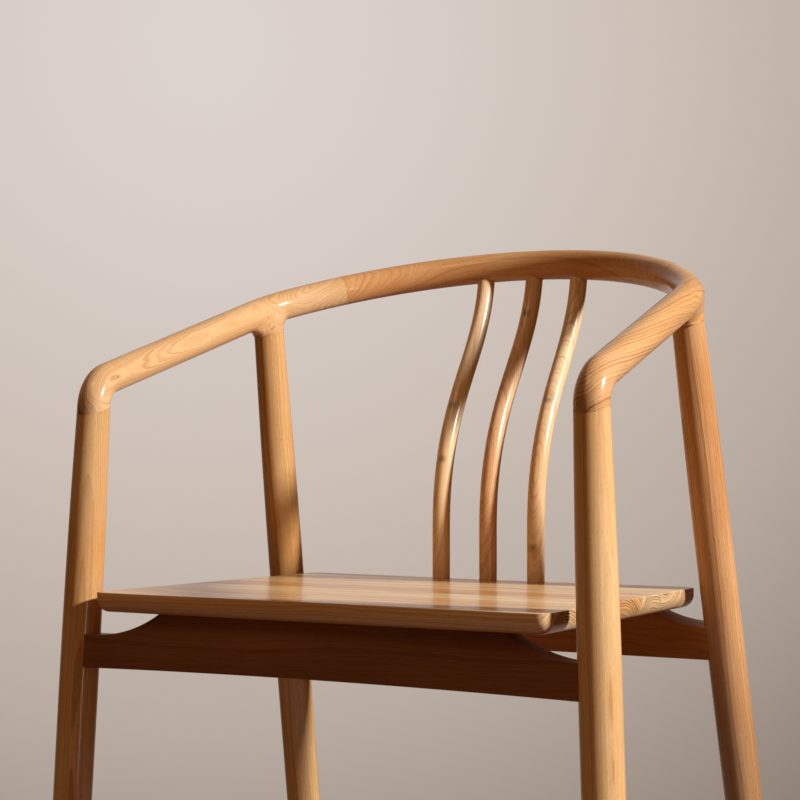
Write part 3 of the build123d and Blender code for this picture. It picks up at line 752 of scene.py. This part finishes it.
# ---------------------------------------------------------------- bow
# The horseshoe bow: a middle rail sawn to an arc, and two arms that each carry a carved elbow and a
# carved boss. All three are shaped round, glued end to end with dowels, and lacquered.
bow_radius = 0.0146
bow_run = 0.3838                       # level distance from the elbows back to the middle of the rail
arm_splay = math.radians(5.29)
arm_straight = 0.2352
corner_radius = 0.100
boss_place = 0.541                     # share of the corner bend, from its back end
rail_half_length = 0.2016
elbow_corner = Vector((0.2543, -0.1826, 0.6263))
elbow_bend_radius = 0.030
boss_heel_radius = 0.028
boss_end = 0.0142                      # radius of the boss where it has sunk into the bow
seam_spill = 0.008                     # the stock runs so far past a seam before it is sawn
boss_spill = 0.012
point_spacing = 0.002
bend_steps = 24
straight_steps = 60
neck_steps = 10                        # points by which the elbow runs on into the leg
rail_sides = 80
rough_sides = 48
skin_grain = 0.0010                    # fineness of the carved skin
carving_rounds = 4
heel_melt = 0.002                      # widths of the hollows where heel and boss run into the bow
boss_melt = 0.016
foot_reach = 0.035                     # what the saw takes at a foot of the arm
foot_lip = 0.004

# Half of the bow is a straight arm, a corner bend and half of the back's arc, each tangent to the next.
bow_depth = bow_run / math.cos(bow_slope)
bow_middle = Vector((0.0, elbow_corner.y + bow_run, elbow_corner.z + bow_run * math.tan(bow_slope)))
corner_across = elbow_corner.x - arm_straight * math.sin(arm_splay) - corner_radius * math.cos(arm_splay)
corner_back = arm_straight * math.cos(arm_splay) - corner_radius * math.sin(arm_splay) - bow_depth
back_radius = ((corner_radius ** 2 - corner_across ** 2 - corner_back ** 2)
               / (2 * (corner_back + corner_radius)))
back_angle = math.atan2(corner_across, corner_back + back_radius)
arm_angle = math.pi / 2 - arm_splay
boss_angle = back_angle + boss_place * (arm_angle - back_angle)
seam_angle = rail_half_length / back_radius


def on_bow(right, back):
    """Point in the bow's sloping plane, counted from the middle of the back rail."""
    return bow_middle + Vector((right, back * math.cos(bow_slope), back * math.sin(bow_slope)))


def on_back_arc(angle):
    """Point on the back's arc, by its angle from the middle."""
    return on_bow(back_radius * math.sin(angle), back_radius * (math.cos(angle) - 1))


def on_corner(angle):
    """Point on the right corner bend, by the same angle."""
    return on_bow(corner_across + corner_radius * math.sin(angle),
                  corner_back + corner_radius * math.cos(angle))


def bow_forward(angle):
    """Direction in which the right half of the bow runs towards its elbow."""
    return on_bow(math.cos(angle), -math.sin(angle)) - bow_middle


def swept_between(arc, start, end):
    """Points along an arc of the bow."""
    steps = max(2, int(abs(end - start) * corner_radius / point_spacing))
    return [arc(start + (end - start) * step / steps) for step in range(steps + 1)]


def curve_between(start, start_pull, end_pull, end, steps):
    """Points of a smooth curve that leaves one end towards its pull and comes in from the other's."""
    shares = [step / steps for step in range(steps + 1)]
    return [start * (1 - t) ** 3 + start_pull * (3 * t * (1 - t) ** 2) + end_pull * (3 * t ** 2 * (1 - t))
            + end * t ** 3 for t in shares]


def setback(to_start, to_end, radius):
    """How far from a corner an arc of that radius begins."""
    return radius / math.tan(to_start.angle(to_end) / 2)


def carved_bend(start, to_start, end, to_end, radius):
    """Points of a curve that leaves one line and joins another like an arc of that radius."""
    handle = radius * 4 / 3 * math.tan((math.pi - to_start.angle(to_end)) / 4)
    return curve_between(start, start - to_start * handle, end - to_end * handle, end, bend_steps)


# A round bar: a line of points with their own radii, swept with a circle.
bending = bpy.data.node_groups.new("round_bar", "GeometryNodeTree")
for title, kind in (("Geometry", "Geometry"), ("Sides", "Int"), ("Wood", "Material")):
    bending.interface.new_socket(title, in_out="INPUT", socket_type="NodeSocket" + kind)
bending.interface.new_socket("Geometry", in_out="OUTPUT", socket_type="NodeSocketGeometry")
bar_sizes = add(bending, "NodeGroupInput").outputs
path = add(bending, "GeometryNodeMeshToCurve", {0: bar_sizes["Geometry"]})
stock = add(bending, "GeometryNodeInputNamedAttribute", {"Name": "bar_radius"}, data_type="FLOAT")
section = add(bending, "GeometryNodeCurvePrimitiveCircle", {"Resolution": bar_sizes["Sides"], "Radius": 1.0})
bar = add(bending, "GeometryNodeCurveToMesh", {"Curve": path.outputs[0], "Profile Curve": section.outputs[0],
                                               "Scale": stock.outputs["Attribute"], "Fill Caps": True})
whole_bar = add(bending, "GeometryNodeRealizeInstances", {"Geometry": bar.outputs[0]})
wooden_bar = add(bending, "GeometryNodeSetMaterial", {"Geometry": whole_bar.outputs[0],
                                                      "Material": bar_sizes["Wood"]})
add(bending, "NodeGroupOutput", {"Geometry": wooden_bar.outputs[0]})


def round_bar(name, points, radii, material, sides):
    """Mesh of a round bar along points."""
    blank = bpy.data.meshes.new(name)
    blank.from_pydata([tuple(p) for p in points], [(i, i + 1) for i in range(len(points) - 1)], [])
    width = blank.attributes.new("bar_radius", "FLOAT", "POINT")
    width.data.foreach_set("value", radii)
    return grown(name, bending, blank, {"Sides": sides, "Wood": material})


rail_tones = ("f0ba80", "d28a4a", "8e4a1c")
# the broad dark spot over the rail's right half stands partly for darker heartwood and partly for painted
# shade on the rail's inner face there
rail_wood = lacquered("lacquered_back_rail", (1, 0.0, 0.0), (0.02, 0.215, 0.700), rail_tones,
                      ring_width=0.0025, figure=0.014, ring_depth=0.36, coat=0.55,
                      knots_and_shade=(((0.10, 0.18, 0.745), 0.21),), knot_and_shade_depth=0.16)
spill = seam_spill / back_radius
rail_points = swept_between(on_back_arc, -seam_angle - spill, seam_angle + spill)
rail_shape = round_bar("back_rail_shape", rail_points, [bow_radius] * len(rail_points), rail_wood, rail_sides)
right_seam, right_way = on_back_arc(seam_angle), bow_forward(seam_angle)
cut(rail_shape, right_seam, right_way, seam_arris)
cut(rail_shape, mirrored(right_seam), mirrored(right_way), seam_arris)
finished("back_rail_shaped", rail_shape, "back_rail", rail_wood)

# The right arm is carved from one blank, so its bar, elbow, boss and heel are melted into one skin.
front_up = (front_top - front_foot).normalized()
back_up = (back_top - back_foot).normalized()
elbow_seam = front_top - front_up * elbow_drop
boss_seam = back_top - back_up * boss_drop
arm_back = bow_forward(arm_angle) * -1
front_down = front_up * -1
elbow_setback = setback(arm_back, front_down, elbow_bend_radius)
bend = carved_bend(elbow_corner + arm_back * elbow_setback, arm_back, front_top + front_down * elbow_setback,
                   front_down, elbow_bend_radius)
arm_points = swept_between(on_back_arc, seam_angle - spill, back_angle)
arm_points += swept_between(on_corner, back_angle, arm_angle)[1:]
straight_start = arm_points[-1]
arm_points += [straight_start.lerp(bend[0], step / straight_steps) for step in range(1, straight_steps + 1)]
arm_radii = [bow_radius] * len(arm_points)
down = bend + [bend[-1] + front_down * (point_spacing * step) for step in range(1, neck_steps + 1)]
arm_points += down[1:]
# the bow's thickness grows into the leg's a little below the bend
arm_radii += [bow_radius + (front_radii[2] - bow_radius) * min(1.0, step / (len(bend) + 4))
              for step in range(1, len(down))]
boss_middle = on_corner(boss_angle)
boss_foot = boss_seam - back_up * boss_spill
stub = [boss_foot, boss_seam, boss_middle]
stub_radii = [back_radii[2], back_radii[2], boss_end]
heel_back = bow_forward(back_angle) * -1
heel_start = back_top - back_up * setback(heel_back, back_up * -1, boss_heel_radius)
heel_bend = carved_bend(heel_start, back_up * -1, on_corner(back_angle), heel_back, boss_heel_radius)
heel = [boss_foot] + heel_bend
heel_radii = [back_radii[2]] + [back_radii[2] + (boss_end - back_radii[2]) * step / bend_steps
                                for step in range(bend_steps + 1)]


def reach_of(bar, radii, spots):
    """How far spots lie outside a bar, and the way out from its centre line."""
    bar = np.array([tuple(point) for point in bar])
    runs = bar[1:] - bar[:-1]
    best = np.full(len(spots), np.inf)
    ways = np.zeros_like(spots)
    for start, run, start_radius, end_radius in zip(bar, runs, radii, radii[1:]):
        share = np.clip(((spots - start) @ run) / (run ** 2).sum(), 0, 1)
        off = spots - (start + share[:, None] * run)
        far = np.linalg.norm(off, axis=1)
        gap = far - (start_radius + (end_radius - start_radius) * share)
        nearer = gap < best
        best[nearer] = gap[nearer]
        ways[nearer] = off[nearer] / far[nearer][:, None]
    return best, ways


def melted(first, second, width):
    """Two bars' gaps and ways joined with a hollow of about that width, where their skins cross."""
    crossing = 1 - (first[1] * second[1]).sum(1)
    width = width * np.clip(crossing, 1e-4, 1)
    share = np.clip(0.5 + 0.5 * (second[0] - first[0]) / width, 0, 1)
    gap = second[0] + (first[0] - second[0]) * share - width * share * (1 - share)
    way = second[1] + (first[1] - second[1]) * share[:, None]
    return gap, way / np.linalg.norm(way, axis=1)[:, None]


left_arm_tones = ("f7cd9a", "e8b377", "ac6a34")
right_arm_tones = ("ebb881", "d89f61", "985824")
right_arm_wood = lacquered("lacquered_right_arm", (0.0, 0.975, 0.20), (0.287, -0.05, 0.588), right_arm_tones,
                           ring_width=0.0021, figure=0.022, ring_depth=0.75,
                           burls=(((0.240, 0.050, 0.690), 0.035),))
left_arm_wood = lacquered("lacquered_left_arm", (0.0, 0.96, 0.28), (-0.196, -0.04, 0.694), left_arm_tones,
                          ring_width=0.0030, figure=0.028, ring_depth=0.42, end_grain=0.95,
                          knots_and_shade=(((-0.2385, -0.166, 0.6335), 0.0014), ((-0.222, 0.066, 0.711), 0.002)),
                          burls=(((-0.222, 0.045, 0.690), 0.036),))
rough = bmesh.new()
for bar_name, bar_points, bar_radii in (("arm", arm_points, arm_radii), ("stub", stub, stub_radii),
                                        ("heel", heel, heel_radii)):
    rough.from_mesh(round_bar(bar_name, bar_points, bar_radii, right_arm_wood, rough_sides))
rough_mesh = bpy.data.meshes.new("arm_blank")
rough.to_mesh(rough_mesh)
rough.free()
arm_shape = modified(rough_mesh, "REMESH", mode="VOXEL", voxel_size=skin_grain)
spots = np.empty(len(arm_shape.vertices) * 3)
arm_shape.vertices.foreach_get("co", spots)
spots = spots.reshape(-1, 3)
for carving in range(carving_rounds):
    boss_skin = melted(reach_of(stub, stub_radii, spots), reach_of(heel, heel_radii, spots), heel_melt)
    gap, way = melted(reach_of(arm_points, arm_radii, spots), boss_skin, boss_melt)
    spots = spots - way * gap[:, None]
arm_shape.vertices.foreach_set("co", spots.ravel())
arm_shape.update()
cut(arm_shape, right_seam, right_way * -1, seam_arris)
# each foot of the arm is sawn by itself, because the seams' planes also cross the bar
for seam in (elbow_seam, boss_seam):
    cut(arm_shape, seam, bow_normal * -1, seam_arris, reach=foot_reach, lip=foot_lip)
left_arm_shape = other_side(arm_shape, "left_arm_shape")
finished("right_arm_carved", arm_shape, "right_arm", right_arm_wood)
finished("left_arm_carved", left_arm_shape, "left_arm", left_arm_wood)

# Bare beech dowels, milled round, hidden in the two seams.
beech_tones = ("dfc59a", "d2b284", "b08c5c")
beech = lacquered("bare_beech_dowel", right_way, right_seam, beech_tones, ring_width=0.0015, figure=0.001,
                  ring_depth=0.3, coat=0.0)
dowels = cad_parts["bow_dowels"]
dowels.data.materials.clear()
dowels.data.materials.append(beech)


# ---------------------------------------------------------------- spindles
# Three spindles bent in an S, turned round, glued into the seat and up into the back rail. Their
# heads are scribed to the rail.
spindle_radius = 0.00855
spindle_spacing = 0.052
spindle_inset = 0.0172
spindle_upright = 0.050
lower_pull = 0.52
upper_pull = 0.37
top_lean = math.radians(3.8)
spindle_gap = 0.0003           # glue room under the rail
spindle_knots = ((0.610, 0.556), (0.700,), (0.614, 0.473))      # heights, spindle by spindle
knot_place = Vector((0.001, -0.0085, 0.0))     # from the centre line to the front of the stick
knot_radius = 0.0065
# the spindles are paler than the legs: partly paler wood, partly painted light standing for the light that
# the bright seat throws up onto them
spindle_tones_with_painted_bounce = (("fde0b4", "f4cb92", "c88a50"), ("f8cd9c", "eab47e", "b27242"),
                 ("fbdbae", "f1c088", "c08248"))
spindle_figure = {"ring_width": 0.0024, "figure": 0.008, "knot_and_shade_depth": 0.6, "gloss": 0.2, "coat": 0.9}
spindle_grain = (0, 0.22, 0.97)
upright_steps = 12
curve_steps = 120
spindle_sides = 48
scribe_sides = 96
scribe_points = rail_points[::2]
scribe = round_bar("scribe", scribe_points, [bow_radius + spindle_gap] * len(scribe_points), rail_wood,
                   scribe_sides)
head_way = Vector((0, math.sin(top_lean), math.cos(top_lean)))
for step, (side, tones, heights) in enumerate(zip(("left", "middle", "right"), spindle_tones_with_painted_bounce, spindle_knots),
                                              start=-1):
    name = side + "_spindle"
    foot = Vector((step * spindle_spacing, seat_back - spindle_inset, seat_height))
    top = on_back_arc(math.asin(step * spindle_spacing / back_radius))
    bend_start = foot + Vector((0, 0, spindle_upright))
    rise = top.z - bend_start.z
    points = [foot.lerp(bend_start, number / upright_steps) for number in range(upright_steps)]
    points += curve_between(bend_start, bend_start + Vector((0, 0, rise * lower_pull)),
                            top - head_way * (rise * upper_pull), top, curve_steps)
    knots_and_shade = []
    for height in heights:
        beside = min(points, key=lambda point: abs(point.z - height))
        knots_and_shade.append((beside + knot_place, knot_radius))
    pith = foot + Vector((0.02 - 0.03 * step, 0.045, 0.0))
    stick_wood = lacquered("lacquered_" + name, spindle_grain, pith, tones, knots_and_shade=knots_and_shade, **spindle_figure)
    stick_bar = round_bar(name + "_bar", points, [spindle_radius] * len(points), stick_wood, spindle_sides)
    finished(name + "_bent", carved_away(stick_bar, scribe), name, stick_wood)
